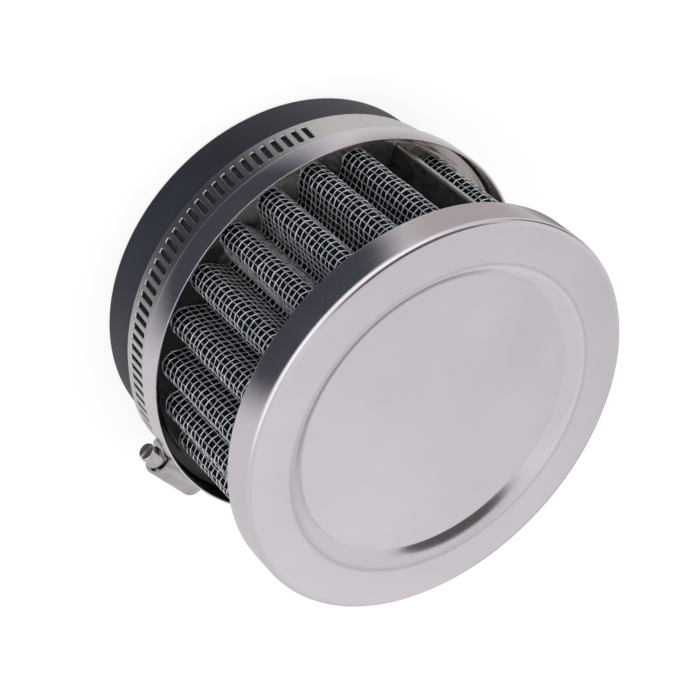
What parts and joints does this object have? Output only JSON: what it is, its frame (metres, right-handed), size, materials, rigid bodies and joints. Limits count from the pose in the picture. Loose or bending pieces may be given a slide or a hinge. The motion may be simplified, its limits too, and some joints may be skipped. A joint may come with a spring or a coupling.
{
  "type": "clamp-on pod air filter",
  "caption": "Round clamp-on pod air filter for a motorcycle intake, with metal end caps, a pleated wire-mesh element, a rubber neck and a worm-drive hose clamp",
  "frame": {"origin": "centre of the rubber neck's open mouth, in the plane of its rear edge, on the filter's axis", "axes": "+Z runs along the filter's axis from the neck's mouth to the front cap; +X points from the axis to the hose clamp's worm housing; +Y completes the right-handed frame, so the screw's head points along -Y"},
  "size_m": [0.097, 0.092, 0.0635],
  "materials": {
    "polished_cap": "polished plated sheet steel, slightly satin on the front face",
    "neck_rubber": "matte moulded rubber",
    "dark_gauze": "very dark navy cotton gauze, matte",
    "mesh_wire": "bare woven wire cloth, bright",
    "clip_steel": "dark folded sheet with a bright edge",
    "adhesive": "dark cured potting resin",
    "clamp_steel": "bright rolled stainless steel"
  },
  "bodies": {
    "filter": {"front_cap": "polished_cap", "rear_cap": "polished_cap", "rubber_neck": "neck_rubber", "filter_gauze": "dark_gauze", "outer_wire_mesh": "mesh_wire", "inner_wire_mesh": "mesh_wire", "seam_clip": "clip_steel", "front_adhesive": "adhesive", "rear_adhesive": "adhesive", "clamp_band": "clamp_steel", "clamp_housing": "clamp_steel"},
    "screw": {"clamp_screw": "clamp_steel"}
  },
  "joints": [
    {"name": "screw_turn", "type": "hinge", "parent": "filter", "child": "screw", "pos_m": [0.0475, 0, 0.0148], "axis": [0, -1, 0], "continuous": true}
  ]
}
